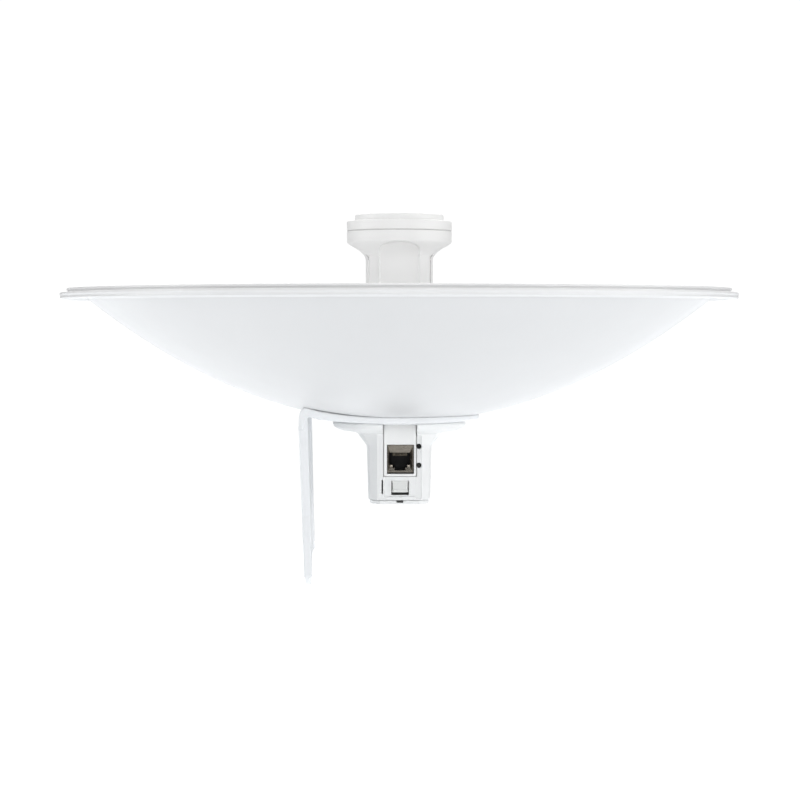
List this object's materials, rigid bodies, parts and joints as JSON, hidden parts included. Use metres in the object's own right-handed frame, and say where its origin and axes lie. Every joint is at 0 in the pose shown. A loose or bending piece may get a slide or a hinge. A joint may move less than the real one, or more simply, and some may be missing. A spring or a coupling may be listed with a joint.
{
  "type": "outdoor wireless bridge",
  "caption": "Outdoor wireless bridge: shallow round dish reflector with a central feed column, a rear housing round an open network socket, and an L-shaped bracket leg for a pole clamp.",
  "frame": {"origin": "on the outer face of the bracket's leg, where a pole clamp bears, between the pivot hole and the arc slot", "axes": "+Z along the direction the dish looks, +X from the leg towards the dish axis, -Y the side the network socket faces"},
  "size_m": [0.42, 0.42, 0.2315],
  "materials": {
    "dish_coat": "satin white powder coat",
    "bracket_coat": "satin white powder coat, slightly cooler",
    "housing_plastic": "fine matte white moulding",
    "feed_plastic": "fine matte white moulding",
    "steel": "zinc plated",
    "seal_rubber": "matte",
    "aluminium": "satin",
    "circuit_board": "solder mask",
    "gold": "gold plated",
    "black_plastic": "matte",
    "nickel": "dull nickel plate",
    "grey_plastic": "matte",
    "clear_plastic": "clear acrylic"
  },
  "bodies": {
    "reflector": {"dish_reflector": "dish_coat", "mount_bracket": "bracket_coat", "hub_washer_1": "steel", "hub_washer_2": "steel", "hub_washer_3": "steel", "hub_washer_4": "steel", "hub_screw_1": "steel", "hub_screw_2": "steel", "hub_screw_3": "steel", "hub_screw_4": "steel", "rear_housing": "housing_plastic", "end_cap": "housing_plastic"},
    "feed": {"feed_shell_front": "feed_plastic", "feed_shell_rear": "feed_plastic", "feed_latch": "feed_plastic", "shell_screw_1": "steel", "shell_screw_2": "steel", "hub_gasket": "seal_rubber", "feed_cap": "feed_plastic", "cap_seal": "seal_rubber", "sub_reflector": "aluminium", "radiator_board": "circuit_board", "radiator_patch": "gold", "radio_board": "circuit_board", "shield_can_front": "steel", "shield_can_rear": "steel", "line_transformer": "black_plastic", "socket_shell": "nickel", "socket_insert": "black_plastic", "socket_contacts": "gold", "reset_switch": "black_plastic", "status_light_pipe": "clear_plastic", "status_led": "clear_plastic"},
    "reset_button": {"reset_button": "grey_plastic"},
    "release_tab": {"release_tab": "housing_plastic"}
  },
  "joints": [
    {"name": "feed_release", "type": "slide", "parent": "reflector", "child": "feed", "axis": [0, 0, 1], "range_m": [0, 0.05]},
    {"name": "reset_press", "type": "slide", "parent": "feed", "child": "reset_button", "axis": [0, 1, 0], "range_m": [0, 0.0008], "stiffness_N_per_m": 600, "springref_m": -0.0012},
    {"name": "tab_flex", "type": "hinge", "parent": "reflector", "child": "release_tab", "pos_m": [0.05942, -0.0175, 0.02765], "axis": [1, 0, 0], "range_deg": [0, 8], "stiffness_Nm_per_rad": 0.25, "springref_deg": -1.15}
  ]
}
